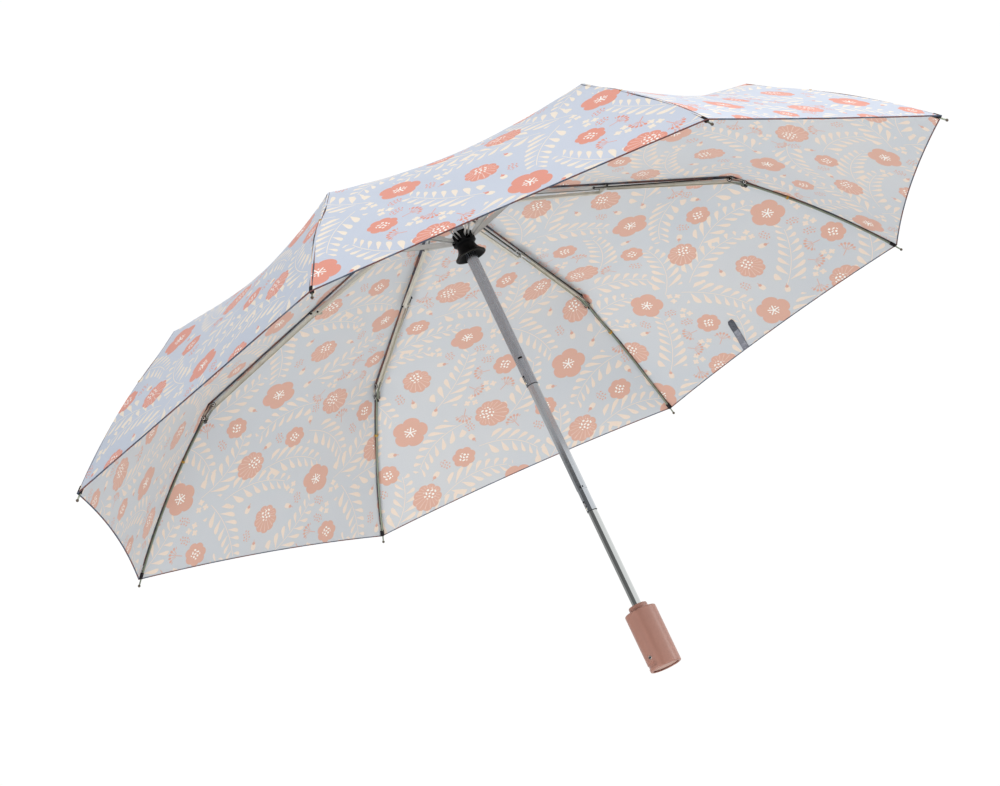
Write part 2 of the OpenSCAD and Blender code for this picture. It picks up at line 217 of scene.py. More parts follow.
class Num:
    """A number in a node tree. Python's operators add the maths nodes, so a pattern reads as a formula."""

    def __init__(self, tree, socket):
        self.tree, self.socket = tree, socket

    def op(self, operation, *others):
        node = self.tree.nodes.new("ShaderNodeMath")
        node.operation = operation
        for slot, value in zip(node.inputs, (self, *others)):
            if isinstance(value, Num):
                self.tree.links.new(value.socket, slot)
            else:
                slot.default_value = value
        return Num(self.tree, node.outputs[0])

    def __add__(self, other):
        return self.op("ADD", other)

    __radd__ = __add__

    def __sub__(self, other):
        return self.op("SUBTRACT", other)

    def __rsub__(self, other):
        return self.op("MULTIPLY_ADD", -1.0, other)

    def __mul__(self, other):
        return self.op("MULTIPLY", other)

    __rmul__ = __mul__

    def __truediv__(self, other):
        return self.op("DIVIDE", other)

    def __lt__(self, other):
        return self.op("LESS_THAN", other)

    def __gt__(self, other):
        return self.op("GREATER_THAN", other)

    def __abs__(self):
        return self.op("ABSOLUTE")

    def either(self, other):
        return self.op("MAXIMUM", other)

    def wrapped(self, period):
        """Folded into the range from -period / 2 to period / 2."""
        return self.op("WRAP", -period / 2, period / 2)


def srgb(r, g, b):
    """A colour from 0 to 255 as linear light."""
    return tuple((c / 255 / 12.92) if c <= 10 else ((c / 255 + 0.055) / 1.055) ** 2.4
                 for c in (r, g, b)) + (1.0,)


class Tree:
    """A material's node tree with a Principled BSDF, and the few nodes that the finishes share."""

    def __init__(self, name, roughness, metallic=0.0, **sockets):
        self.material = bpy.data.materials.new(name)
        self.material.use_nodes = True
        self.tree = self.material.node_tree
        self.shader = self.tree.nodes["Principled BSDF"]
        self.shader.inputs["Roughness"].default_value = roughness
        self.shader.inputs["Metallic"].default_value = metallic
        for socket, value in sockets.items():
            self.shader.inputs[socket.replace("_", " ")].default_value = value

    def add(self, kind, **values):
        node = self.tree.nodes.new(kind)
        for name, value in values.items():
            setattr(node, name, value)
        return node

    def link(self, a, b):
        self.tree.links.new(a.socket if isinstance(a, Num) else a, b)

    def place(self):
        """The object coordinates, which are the rest frame's."""
        return self.add("ShaderNodeTexCoord").outputs["Object"]

    def axes(self, vector, scale=1.0):
        split = self.add("ShaderNodeSeparateXYZ")
        self.link(vector, split.inputs[0])
        return [Num(self.tree, s) * scale if scale != 1 else Num(self.tree, s) for s in split.outputs]

    def noise(self, scale, detail, roughness, vector=None, stretch=None):
        node = self.add("ShaderNodeTexNoise")
        node.inputs["Scale"].default_value = scale
        node.inputs["Detail"].default_value = detail
        node.inputs["Roughness"].default_value = roughness
        source = vector if vector is not None else self.place()
        if stretch is not None:
            mapping = self.add("ShaderNodeMapping")
            mapping.inputs["Scale"].default_value = stretch
            self.link(source, mapping.inputs["Vector"])
            source = mapping.outputs[0]
        self.link(source, node.inputs["Vector"])
        return Num(self.tree, node.outputs[0])

    def mix(self, factor, a, b):
        """Colour a where factor is 0, and b where it is 1."""
        node = self.add("ShaderNodeMix", data_type="RGBA")
        for slot, value in ((node.inputs[0], factor), (node.inputs[6], a), (node.inputs[7], b)):
            if isinstance(value, (Num, bpy.types.NodeSocket)):
                self.link(value, slot)
            else:
                slot.default_value = value
        return node.outputs[2]

    def ramp(self, value, low, high, to_low=0.0, to_high=1.0):
        node = self.add("ShaderNodeMapRange")
        self.link(value, node.inputs[0])
        for slot, number in zip(list(node.inputs)[1:5], (low, high, to_low, to_high)):
            slot.default_value = number
        return Num(self.tree, node.outputs[0])

    def colour(self, socket):
        self.link(socket, self.shader.inputs["Base Color"])

    def rough(self, value):
        self.link(value, self.shader.inputs["Roughness"])

    def bump(self, height, strength, distance):
        node = self.add("ShaderNodeBump")
        node.inputs["Strength"].default_value = strength
        node.inputs["Distance"].default_value = distance
        self.link(height, node.inputs["Height"])
        self.link(node.outputs[0], self.shader.inputs["Normal"])


# --- the printed cloth ---


class Print:
    """The flower print, drawn by formulas in a panel's own plane, in millimetres."""

    WIDE, TALL = 200.0, 240.0  # the size of the repeat
    PITCH = 16.2               # from one leaf of a sprig to the next
    PULL = 0.17                # how far a grid of dots is pulled about, as a share of its spacing

    def __init__(self, t):
        self.t = t
        uv = t.add("ShaderNodeUVMap", uv_map="print")
        self.x, self.y, _ = t.axes(uv.outputs[0], 1 / MM)
        self.layers = {"cream": None, "coral": None, "light": None, "white": None}

    def local(self, x, y, degrees):
        """Coordinates round a motif's middle, turned with it."""
        u, v = (self.x - x).wrapped(self.WIDE), (self.y - y).wrapped(self.TALL)
        c, s = math.cos(math.radians(degrees)), math.sin(math.radians(degrees))
        return u * c + v * s, v * c - u * s

    def round(self, p, q):
        """Distance from the motif's middle and the direction, in radians."""
        return (p * p + q * q).op("SQRT"), q.op("ARCTAN2", p)

    def put(self, layer, mask):
        have = self.layers[layer]
        self.layers[layer] = mask if have is None else have.either(mask)

    def petals(self, r, a, radius, lobes, depth, shape):
        wave = abs((a * (lobes / 2)).op("COSINE")).op("POWER", shape)
        self.put("coral", r < wave * (depth * radius) + (1 - depth) * radius)

    def dots(self, r, p, q, spacing, dot, reach):
        """A cluster of round dots on a slanted grid that is pulled about."""
        shift, lean = (q * 0.83 + 0.7).op("SINE"), (p * 0.71 + 1.9).op("SINE")
        a = (p + q * 0.42 + shift * (self.PULL * spacing)).wrapped(spacing)
        b = (q * 1.04 - p * 0.22 + lean * (self.PULL * spacing)).wrapped(spacing)
        return ((a * a + b * b) < dot * dot) * (r < reach)

    def star_flower(self, x, y, degrees, radius):
        p, q = self.local(x, y, degrees)
        r, a = self.round(p, q)
        self.petals(r, a, radius, 5, 0.24, 0.5)
        fold = 2 * math.pi / 5
        turn = a.wrapped(fold)
        ray = (abs(r * turn.op("SINE")) < 0.75) * (r < 0.36 * radius)
        between = (a + fold / 2).wrapped(fold)
        du, dv = r * between.op("COSINE") - 0.27 * radius, r * between.op("SINE")
        self.put("white", ray.either((du * du + dv * dv) < 0.9))

    def striped_flower(self, x, y, degrees, radius):
        p, q = self.local(x, y, degrees)
        r, a = self.round(p, q * 1.12)
        self.petals(r, a, radius, 9, 0.16, 0.5)
        heart = p + 0.3 * radius
        rr, aa = self.round(heart, q)
        stripe = (abs((aa * 10).op("SINE")) < 0.24) * (rr > 0.42 * radius) * (r < 0.86 * radius)
        self.put("light", stripe)
        self.put("white", self.dots(rr, heart, q, 4.7, 1.5, 0.42 * radius))

    def dotted_flower(self, x, y, degrees, radius):
        p, q = self.local(x, y, degrees)
        r, a = self.round(p, q)
        self.petals(r, a, radius, 7, 0.16, 0.7)
        self.put("white", self.dots(r, p, q, 4.4, 1.45, 0.45 * radius))

    def sprig(self, x, y, degrees, length, curve, leaf=19.0):
        """A curved stem with slanting leaves on both sides, longest at its foot."""
        p, q = self.local(x, y, degrees)
        along = p + length / 2
        share = along / length
        off = q - share * (1 - share) * (4 * curve) + curve * 0.5
        side = abs(off)
        reach = (1.05 - 0.5 * share) * leaf
        out = side / reach
        slot = (along * (1 + 0.3 * share) - side + (off > 0) * (self.PITCH / 2)).wrapped(self.PITCH)
        shape = out.op("POWER", 1.35) * (1 - (out * out) * (out * out)).op("MAXIMUM", 0.0).op("SQRT")
        leaves = (abs(slot) < shape * (8.9 - 2.2 * share)) * (out > 0.1)
        inside = (along > 2) * (along < length + leaf * 0.4)
        stem = (side < 0.42) * (along > -9) * (along < length)
        self.put("cream", (leaves * inside).either(stem))

    def florets(self, x, y, degrees, spread=5.4):
        """Three small flowers of four petals."""
        p, q = self.local(x, y, degrees)
        r, a = self.round(p, q)
        turn = a.wrapped(2 * math.pi / 3)
        u, v = r * turn.op("COSINE") - spread, r * turn.op("SINE")
        rr, aa = self.round(u, v)
        self.put("cream", rr < abs((aa * 2).op("COSINE")) * 2.0 + 2.1)

    def bud(self, x, y, degrees):
        p, q = self.local(x, y, degrees)
        body = ((p * p) * 0.034 + (q * q) * 0.085 < 1) * (p > -3.0) * (p < 4.6)
        self.put("cream", body)
        tip = p + 4.2
        stem = (abs(q) < 0.4) * (p < -4) * (p > -9)
        self.put("coral", (tip * tip * 0.22 + q * q * 0.22 < 1).either(stem))

    def berries(self, x, y, degrees, reach=10.0, fan=1.2):
        """A fan of thin stalks with a berry at each end."""
        p, q = self.local(x, y, degrees)
        r, a = self.round(p, q)
        fold = 2 * math.pi / 15
        turn = a.wrapped(fold)
        u, v = r * turn.op("COSINE") - reach, r * turn.op("SINE")
        berry = u * u * 0.6 + v * v < 2.4
        stalk = (abs(v) < 0.34) * (r < reach) * (r > 2.2)
        foot = (abs(q) < 0.45) * (p < 2.6) * (p > -8)
        self.put("coral", (berry.either(stalk) * (abs(a) < fan)).either(foot))

    def speckles(self, x, y, degrees):
        p, q = self.local(x, y, degrees)
        r, _ = self.round(p, q * 1.35)
        self.put("coral", self.dots(r, p, q, 3.8, 1.15, 7.6))

    TRIES = 160  # random places that are weighed up for each motif
    # Motif, how many in a repeat, the radius and length that it keeps clear, and its size
    MOTIFS = (
        ("star_flower", 2, 21, 0, 21), ("striped_flower", 3, 20, 0, 20.0), ("dotted_flower", 3, 15, 0, 14.0),
        ("sprig", 8, 16, 46, 72), ("florets", 5, 8, 0, None), ("bud", 7, 5.5, 6, None),
        ("berries", 5, 8, 4, None), ("speckles", 7, 7, 3, None),
    )

    def draw(self):
        """Scatters the motifs over the repeat: each goes to the roomiest of many random places."""
        rng, taken = np.random.default_rng(11), []
        for kind, count, clear, length, size in self.MOTIFS:
            for _ in range(count):
                best = None
                for _ in range(self.TRIES):
                    x, y = rng.uniform(0, self.WIDE), rng.uniform(0, self.TALL)
                    degrees = rng.uniform(0, 360)
                    ahead = math.cos(math.radians(degrees)), math.sin(math.radians(degrees))
                    steps = (-0.5, -0.25, 0, 0.25, 0.5) if length else (0,)
                    spots = [(x + ahead[0] * length * k, y + ahead[1] * length * k) for k in steps]
                    room = min((math.hypot((a - c + self.WIDE / 2) % self.WIDE - self.WIDE / 2,
                                           (b - d + self.TALL / 2) % self.TALL - self.TALL / 2) - r - clear
                                for a, b in spots for c, d, r in taken), default=0)
                    if best is None or room > best[0]:
                        best = room, x, y, degrees, spots
                _, x, y, degrees, spots = best
                taken += [(a, b, clear) for a, b in spots]
                if kind == "sprig":
                    self.sprig(x, y, degrees, size * rng.uniform(0.9, 1.1),
                               rng.uniform(4, 10) * rng.choice((-1, 1)))
                elif size:
                    getattr(self, kind)(x, y, degrees, size * rng.uniform(0.92, 1.08))
                else:
                    getattr(self, kind)(x, y, degrees)

    def colours(self, base, cream, light, coral, white):
        t, found = self.t, base
        for layer, paint in (("cream", cream), ("coral", coral), ("light", light), ("white", white)):
            found = t.mix(self.layers[layer], found, paint)
        return found


WEAVE_SHADE = (0.30, 0.32, 0.36, 1)  # between the threads


def cloth_material(name, base, cream, coral, light, white, shade, roughness):
    """Thin polyester with the print. shade is a second tone of the ground, in soft clouds."""
    t = Tree(name, roughness, Sheen_Weight=0.12, Sheen_Roughness=0.5, Specular_IOR_Level=0.25)
    uv = t.add("ShaderNodeUVMap", uv_map="print").outputs[0]
    cloud = t.ramp(t.noise(6.0, 3.0, 0.55), 0.35, 0.65)
    pattern = Print(t)
    pattern.draw()
    tone = t.mix(cloud, base, shade)
    painted = pattern.colours(tone, cream, light, coral, white)
    grain = t.ramp(t.noise(900.0, 2.0, 0.6, uv), 0.3, 0.7, 0.0, 0.10)
    t.colour(t.mix(grain, painted, WEAVE_SHADE))
    # soft waves left by the folding, and the weave
    waves = t.noise(14.0, 2.0, 0.45, uv, (1.0, 0.35, 1.0))
    weave = t.noise(1500.0, 1.0, 0.5, uv)
    t.bump(waves + weave * 0.02, 0.25, 6 * MM)
    return t.material


CLOTH_OUT = cloth_material("cloth_outside", srgb(196, 205, 221), srgb(243, 231, 215), srgb(228, 150, 131),
                           srgb(242, 204, 192), srgb(250, 248, 244), srgb(202, 210, 225), 0.62)
CLOTH_IN = cloth_material("cloth_inside", srgb(203, 208, 213), srgb(238, 221, 204), srgb(221, 174, 155),
                          srgb(232, 202, 187), srgb(250, 248, 242), srgb(209, 211, 213), 0.75)


def darker(colour, share):
    return tuple(c * (1 - share) for c in colour[:3]) + (1,)


def metal(name, colour, roughness, streak, worn=None, stretch=(60, 60, 4), metallic=1.0):
    """Drawn or plated metal: fine streaks, stretched along the part, and blotches of a worn tone."""
    t = Tree(name, roughness, metallic)
    line = t.noise(40.0, 4.0, 0.6, None, stretch)
    blotch = t.noise(55.0, 3.0, 0.6)
    tone = t.mix(t.ramp(line, 0.3, 0.7, 0.0, 1.0), colour, darker(colour, streak))
    if worn is not None:
        tone = t.mix(t.ramp(blotch, 0.5, 0.72, 0.0, 0.8), tone, worn)
    t.colour(tone)
    t.rough(t.ramp(line + blotch * 0.5, 0.4, 1.1, roughness * 0.8, roughness * 1.35))
    t.bump(line, 0.03, 0.15 * MM)
    return t.material


def plastic(name, colour, roughness, coat=0.0, mottle=0.08, grain=900.0, shine=0.5):
    """Moulded plastic: a fine grain and a barely uneven tone."""
    t = Tree(name, roughness, 0.0, Coat_Weight=coat, Coat_Roughness=0.12, Specular_IOR_Level=shine)
    cloud = t.noise(90.0, 3.0, 0.55)
    t.colour(t.mix(t.ramp(cloud, 0.3, 0.7), colour, darker(colour, mottle)))
    fine = t.noise(grain, 3.0, 0.6)
    t.rough(t.ramp(fine, 0.3, 0.7, roughness * 0.85, roughness * 1.2))
    t.bump(fine, 0.12, 0.05 * MM)
    return t.material


def handle_material(name, colour, deep):
    """Soft-touch plastic with faint bands down its length, and fine specks."""
    t = Tree(name, 0.42, 0.0, Specular_IOR_Level=0.5, Coat_Weight=0.2, Coat_Roughness=0.28)
    x, y, _ = t.axes(t.place())
    around = y.op("ARCTAN2", x)
    band = (around * 9 + (around * 4).op("SINE") * 1.5).op("SINE") * 0.5 + 0.5
    speck = t.noise(420.0, 3.0, 0.6)
    tone = t.mix(band * 0.32 + t.ramp(speck, 0.35, 0.7, 0.0, 0.2), colour, deep)
    t.colour(tone)
    t.rough(t.ramp(speck, 0.3, 0.7, 0.36, 0.5))
    t.bump(band * 0.08 + speck * 0.2, 0.3, 0.3 * MM)
    return t.material


THREAD_SHADE = (0.02, 0.02, 0.03, 1)


def thread_material(name, tones, scale):
    """Sewn thread or tape: three tones in patches, with a fine dark grain."""
    t = Tree(name, 0.8, 0.0, Specular_IOR_Level=0.2)
    patch, fine = t.noise(scale, 2.0, 0.5), t.noise(900.0, 2.0, 0.6)
    tone = t.mix(t.ramp(patch, 0.46, 0.52), tones[0], tones[1])
    tone = t.mix(t.ramp(t.noise(scale * 1.7, 1.0, 0.5, None, (1, 1, 1.4)), 0.58, 0.64), tone, tones[2])
    t.colour(t.mix(t.ramp(fine, 0.3, 0.7, 0.0, 0.25), tone, THREAD_SHADE))
    t.bump(fine, 0.4, 0.1 * MM)
    return t.material


GREY_TUBE = metal("tube_grey", srgb(180, 185, 192), 0.24, 0.10, None, (60, 60, 2))
BLUE_TUBE = metal("tube_middle", srgb(196, 201, 206), 0.13, 0.06, None, (60, 60, 2))
BRIGHT_TUBE = metal("tube_lower", srgb(206, 209, 208), 0.09, 0.05, None, (60, 60, 2))
STEEL = metal("steel", srgb(170, 170, 168), 0.32, 0.2, srgb(120, 114, 106))
WASHER = metal("washer", srgb(226, 226, 222), 0.4, 0.1, None, (60, 60, 60), 0.3)
RIB_GREY = metal("rib_grey", srgb(216, 216, 213), 0.34, 0.12, None, (60, 60, 60), 0.6)
RIB_BEIGE = metal("rib_beige", srgb(220, 216, 203), 0.4, 0.12, srgb(196, 189, 172), (50, 50, 50), 0.45)
OUTER_WIRE = metal("outer_rib_green_grey", srgb(146, 154, 138), 0.42, 0.15, srgb(116, 120, 104),
                   (50, 50, 50))
# Dark metal of the rods and the wire rings; also painted shade, as dark rings round the eyelets and at the
# tubes' lips.
DARK_METAL_AND_SHADE = metal("dark_metal", srgb(54, 52, 50), 0.4, 0.2)
BRASS = metal("brass", srgb(214, 196, 146), 0.3, 0.15, srgb(160, 132, 84))
BLACK = plastic("black_plastic", (0.003, 0.003, 0.0032, 1), 0.42, 0.0, 0.08, 900.0, 0.1)
# painted highlight: an olive-dark line along the black runner's rim
RUNNER_LIP_HIGHLIGHT = plastic("runner_lip", srgb(46, 46, 36), 0.4)
HANDLE = handle_material("handle_plastic", srgb(178, 129, 114), srgb(160, 112, 97))
HANDLE_DEEP = plastic("handle_disc", srgb(200, 160, 144), 0.45)
TIP_BROWN = plastic("tip_ball", srgb(78, 60, 44), 0.3, 0.3)
# painted shade: dark brown rings in the gaps at the handle's two ends
HANDLE_GAP_SHADE = plastic("handle_joint", srgb(92, 48, 40), 0.6)
THREAD = thread_material(
    "brass_thread", (srgb(206, 164, 78), srgb(186, 140, 64), srgb(222, 190, 110)), 500.0)
DARK_THREAD = thread_material(
    "dark_thread", (srgb(22, 20, 24), srgb(36, 32, 34), srgb(50, 44, 44)), 500.0)
WHITE_THREAD = thread_material(
    "white_thread", (srgb(244, 242, 238), srgb(232, 230, 226), srgb(250, 248, 246)), 500.0)
# The hem is the cloth's own fold; its dark tones are the cloth's colours darkened by painted shade.
HEM_SHADED = thread_material(
    "hem_fold", (srgb(78, 88, 106), srgb(118, 80, 78), srgb(104, 112, 128)), 34.0)
# The seam allowance along each rib is its own cloth; its dark tones are the print's colours darkened by
# painted shade.
SEAM_SHADED = thread_material(
    "seam_tape", (srgb(94, 96, 106), srgb(134, 98, 90), srgb(74, 78, 88)), 42.0)
# painted shadow: the greys of the strap as it shows through the cloth, with its hooks darker
STRAP_SHADOW = thread_material(
    "strap_webbing", (srgb(146, 148, 158), srgb(136, 138, 148), srgb(160, 162, 170)), 120.0)
HOOKS_SHADOW = thread_material(
    "strap_hooks", (srgb(96, 98, 106), srgb(84, 86, 94), srgb(108, 110, 118)), 300.0)
# Near-black painted shade, for holes, slots, vents and a channel where there is only shade.
HOLLOW_SHADE = plastic("hollow", (0.003, 0.003, 0.003, 1), 0.7, 0.0, 0.08, 900.0, 0.05)

FINISH = {
    "handle_grip": HANDLE, "handle_end_cap": HANDLE_DEEP, "push_button": HANDLE_DEEP,
    "button_spring": STEEL, "drive_spring": STEEL,
    "lower_tube": BRIGHT_TUBE, "middle_tube": BLUE_TUBE, "upper_tube": GREY_TUBE,
    "crown": BLACK, "ferrule_cap": BLACK, "runner": BLACK,
    "top_rib": RIB_GREY, "stretcher": RIB_GREY, "link": RIB_BEIGE, "middle_rib": RIB_BEIGE,
    "outer_rib": OUTER_WIRE, "rod": DARK_METAL_AND_SHADE,
}
for node_name, node in frame["nodes"].items():
    base = node_name if node_name in FINISH else node_name.rsplit("_", 1)[0]
    if base in FINISH:
        for slot in node.material_slots:
            slot.material = FINISH[base]


# --- the canopy's surface ---

CLOTH = 0.35 * MM
LIFT = 2.6 * MM             # from the middle of the outer rib to the cloth
KNEE_SINK = 6 * MM          # how far the middle of a panel sinks at the knee
HEM_SINK = 3 * MM           # and at the hem
SINK_IN, SINK_DOWN = 0.41, 0.91  # the direction in which it sinks
HEM_DIP = 0.015             # share of its length by which the hem's middle draws in
SMOOTH = 80 * MM            # how far from the knee a panel's middle begins to turn
BLUR = ((-0.8, 1), (-0.4, 2), (0, 2), (0.4, 2), (0.8, 1))  # places within that reach, and their weights
knee_top = KNEE_TAIL + np.array([5, 3.0]) * MM
elbow_top = ELBOW + np.array([0, 4.0]) * MM
seam_line = [np.array([3.6 * MM, CROWN[1] + 6.8 * MM]), np.array([15 * MM, CROWN[1] + 6.2 * MM])]
seam_line += [elbow_top, knee_top]
seam_line += [outer_rib(t, LIFT) for t in np.linspace(0.08, 0.965, 24)]
seam_line = np.array(seam_line)
run = np.concatenate([[0], np.cumsum(np.linalg.norm(np.diff(seam_line, axis=0), axis=1))])
RUN_ELBOW, RUN_KNEE, RUN_HEM = run[2], run[3], run[-1]


def seam_at(s):
    return np.array([np.interp(s, run, seam_line[:, 0]), np.interp(s, run, seam_line[:, 1])])


def cloth_at(v, s):
    """A point of a panel in its own frame (towards the middle of the panel, across, up).
    v is -1 at one rib and 1 at the next, and s is the distance from the crown along the seam."""
    bay = 1 - v * v
    s = s * (1 - HEM_DIP * bay * (s / RUN_HEM) ** 2)
    reach = min(SMOOTH * bay, s, RUN_HEM - s)
    r, z = sum(seam_at(s + reach * o) * w for o, w in BLUR) / sum(w for _, w in BLUR)
    if s < RUN_KNEE:
        t = s / RUN_KNEE
        share = t * t * (3 - 2 * t)
    else:
        share = 1 - ((s - RUN_KNEE) / (RUN_HEM - RUN_KNEE)) ** 1.3
    sink = bay * (HEM_SINK * (s / RUN_HEM) ** 2 + KNEE_SINK * share)
    return np.array([r * math.cos(HALF) - SINK_IN * sink, v * r * math.sin(HALF), z - SINK_DOWN * sink])


def cloth_normal(v, s):
    e = 1e-3
    s = min(max(s, e), RUN_HEM - e)
    v0, v1 = max(v - e, -1), min(v + e, 1)
    n = np.cross(cloth_at(v, s + e) - cloth_at(v, s - e), cloth_at(v1, s) - cloth_at(v0, s))
    return n / np.linalg.norm(n)


def panel_turn(i):
    """Turns a panel's own frame into place between rib i and the next."""
    a = 2 * HALF * (i - 1) + HALF
    return np.array([[math.cos(a), -math.sin(a), 0], [math.sin(a), math.cos(a), 0], [0, 0, 1]])


COLUMNS = 12  # of faces across half a panel
GORE_SHIFT = np.array([71, 97]) * MM  # each panel is cut from another part of the printed cloth
SECTIONS = (
    ("top", "top_rib", 0.0, RUN_ELBOW, 9, CROWN),
    ("middle", "middle_rib", RUN_ELBOW, RUN_KNEE, 12, ELBOW),
    ("outer", "outer_rib", RUN_KNEE, RUN_HEM, 18, KNEE),
)
DROP = {"top": CROWN - ELBOW, "middle": ELBOW - KNEE, "outer": KNEE - TIP}


def fold_away(piece, i, section, place):
    """Gives the piece a mesh of its own. The cloth does not gather as the umbrella closes: the direction in
    which it would lean is worked out and left unused.
    """
    slope = -DROP[section] / np.linalg.norm(DROP[section])
    inward = np.array([slope[1], -slope[0]])
    lean = in_space(i, inward) - in_space(i, (0, 0))
    tuple(in_space(i, place))
    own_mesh(piece)


grid = {}
for section, _, s0, s1, rows, _ in SECTIONS:
    for side in (1, -1):
        vs = [-side * (1 - c / COLUMNS) for c in range(COLUMNS + 1)]
        ss = [s0 + (s1 - s0) * k / rows for k in range(rows + 1)]
        places = np.array([[cloth_at(v, s) for s in ss] for v in vs])
        normals = np.array([[cloth_normal(v, s) for s in ss] for v in vs])
        flat = np.array([[(v * s_at[1] / abs(v) if v else 0, s) for s, s_at in
                          zip(ss, [cloth_at(abs(v), s) for s in ss])] for v in vs])
        grid[section, side] = places, normals, flat


def canopy_piece(i, side, section, body, place):
    """Half of a panel's section, from its rib to the panel's middle: a thin shell with an outside and an
    inside. side is 1 for the half that follows rib i, and -1 for the half before it."""
    places, normals, flat = grid[section, side]
    turn = panel_turn(i if side > 0 else i - 1)
    columns, rows = places.shape[:2]
    outer = places.reshape(-1, 3) @ turn.T
    normal = normals.reshape(-1, 3) @ turn.T
    if normal[:, 2].mean() < 0:
        normal = -normal
    inner = outer - normal * CLOTH
    gore = (i if side > 0 else i + RIBS - 1) % RIBS
    uv = flat.reshape(-1, 2) + GORE_SHIFT * gore
    count = columns * rows
    faces, slots = [], []

    def at(c, k):
        return c * rows + k

    def add(face, slot):
        faces.append(face if side > 0 else face[::-1])
        slots.append(slot)

    for c in range(columns - 1):
        for k in range(rows - 1):
            add((at(c, k), at(c, k + 1), at(c + 1, k + 1), at(c + 1, k)), 0)
            add((count + at(c + 1, k), count + at(c + 1, k + 1), count + at(c, k + 1), count + at(c, k)), 1)
    rim = [at(0, k) for k in range(rows)] + [at(c, rows - 1) for c in range(1, columns)]
    rim += [at(columns - 1, k) for k in range(rows - 2, -1, -1)]
    rim += [at(c, 0) for c in range(columns - 2, 0, -1)]
    for a, b in zip(rim, rim[1:] + rim[:1]):
        add((a, count + a, count + b, b), 0)
    piece = make(f"canopy_{section}_{i}_{'a' if side > 0 else 'b'}", np.concatenate([outer, inner]), faces,
                 [CLOTH_OUT, CLOTH_IN], slots, np.concatenate([uv, uv]), np.concatenate([normal, -normal]))
    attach(piece, f"{body}_{i}")
    fold_away(piece, i, section, place)
    return piece


def hem(i, side):
    """The folded edge of half a panel, in darker tones that are painted shade."""
    turn = panel_turn(i if side > 0 else i - 1)
    line = [turn @ cloth_at(-side * v, RUN_HEM) for v in np.linspace(1, 0, 16)]
    points, faces = sweep(line, circle(0.72 * MM, 8))
    piece = make(f"hem_{i}_{'a' if side > 0 else 'b'}", points, faces, HEM_SHADED)
    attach(piece, f"outer_rib_{i}")
    fold_away(piece, i, "outer", KNEE)
    return piece


def strap(i, side, foot, head, length, wide, thick):
    """The closing strap's tab: it lies on the cloth's inner face, from the hem inwards, in greys of painted
    shadow, the tab as it shows through the cloth. foot and head place its ends across the panel, as v does."""
    turn = panel_turn(i if side > 0 else i - 1)
    rows, points, faces, slots = 14, [], [], []
    for depth in (CLOTH + 0.1 * MM, CLOTH + thick):
        for k in range(rows + 1):
            t = k / rows
            at = RUN_HEM - length * t
            v, half_v = foot + (head - foot) * t, wide / 2 / (seam_at(at)[0] * math.sin(HALF))
            if t > 0.9:
                half_v *= 1 - ((t - 0.9) * 6) ** 2
            for o in (-1, -0.5, 0, 0.5, 1):
                n = cloth_normal(v + o * half_v, at)
                n = n if n[2] > 0 else -n
                points.append(turn @ (cloth_at(v + o * half_v, at) - n * depth))
    count = (rows + 1) * 5
    for k in range(rows):
        for c in range(4):
            a = k * 5 + c
            faces += [(a, a + 1, a + 6, a + 5), (count + a + 5, count + a + 6, count + a + 1, count + a)]
            slots += [0 if k < 9 else 1] * 2  # the hooks, a darker painted shadow, are on the last five rows
    rim = list(range(5)) + [k * 5 + 4 for k in range(1, rows + 1)]
    rim += [rows * 5 + c for c in (3, 2, 1, 0)] + [k * 5 for k in range(rows - 1, 0, -1)]
    for a, b in zip(rim, rim[1:] + rim[:1]):
        faces.append((a, count + a, count + b, b))
        slots.append(0)
    piece = make("closing_strap", points, faces, [STRAP_SHADOW, HOOKS_SHADOW], slots)
    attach(piece, f"outer_rib_{i}")
    fold_away(piece, i, "outer", KNEE)
    return piece


for i in range(1, RIBS + 1):
    for side in (1, -1):
        for section, body, s0, s1, rows, place in SECTIONS:
            piece = canopy_piece(i, side, section, body, place)
            if section == "outer":
                hem(i, side)
                if i == 1 and side == 1:
                    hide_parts("canopy")
                if i == 3 and side == -1:
                    strap(i, side, 0.26, 0.18, 46 * MM, 9 * MM, 0.9 * MM)
            wide = cloth_at(1, s1)[1]


# --- small fittings, one piece on each body ---


class Kit:
    """The fittings that ride on one body, gathered into one piece."""

    def __init__(self):
        self.points, self.faces, self.slots, self.finishes = [], [], [], []

    def add(self, part, finish):
        if finish not in self.finishes:
            self.finishes.append(finish)
        base = len(self.points)
        self.points += list(part[0])
        self.faces += [tuple(base + v for v in face) for face in part[1]]
        self.slots += [self.finishes.index(finish)] * len(part[1])

    def rivet(self, place, axis, radius, height=0.6 * MM):
        """A rolled rivet head, with a black disc of painted shade in its middle."""
        self.add(dome(place, axis, radius, height), STEEL)
        # painted shade: a black disc in the rivet's middle
        hole = [(0, 0.72 * radius), (0.25 * MM, 0.6 * radius)]
        self.add(turned(place + axis * height * 0.7, axis, hole, 12), HOLLOW_SHADE)

    def eyelet(self, place, axis, radius):
        """A bright washer, with a black disc of painted shade for its hole and a dark ring of painted shade
        round it.
        """
        # painted shade: a dark ring round the washer's edge
        self.add(loop(place, axis, radius + 0.15 * MM, 0.42 * MM), DARK_METAL_AND_SHADE)
        self.add(dome(place, axis, radius, 0.5 * MM), WASHER)
        # painted shade: a black disc for the hole
        hole = [(0, 0.48 * radius), (0.45 * MM, 0.42 * radius)]
        self.add(turned(place + axis * 0.3 * MM, axis, hole, 16), HOLLOW_SHADE)

    def done(self, name, body):
        piece = make(name, self.points, self.faces, self.finishes, self.slots)
        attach(piece, body)


def off(origin, ahead, along, up):
    """A place by a rib: along its direction, and up from it."""
    unit = ahead / np.linalg.norm(ahead)
    return origin + unit * along + np.array([-unit[1], unit[0]]) * up


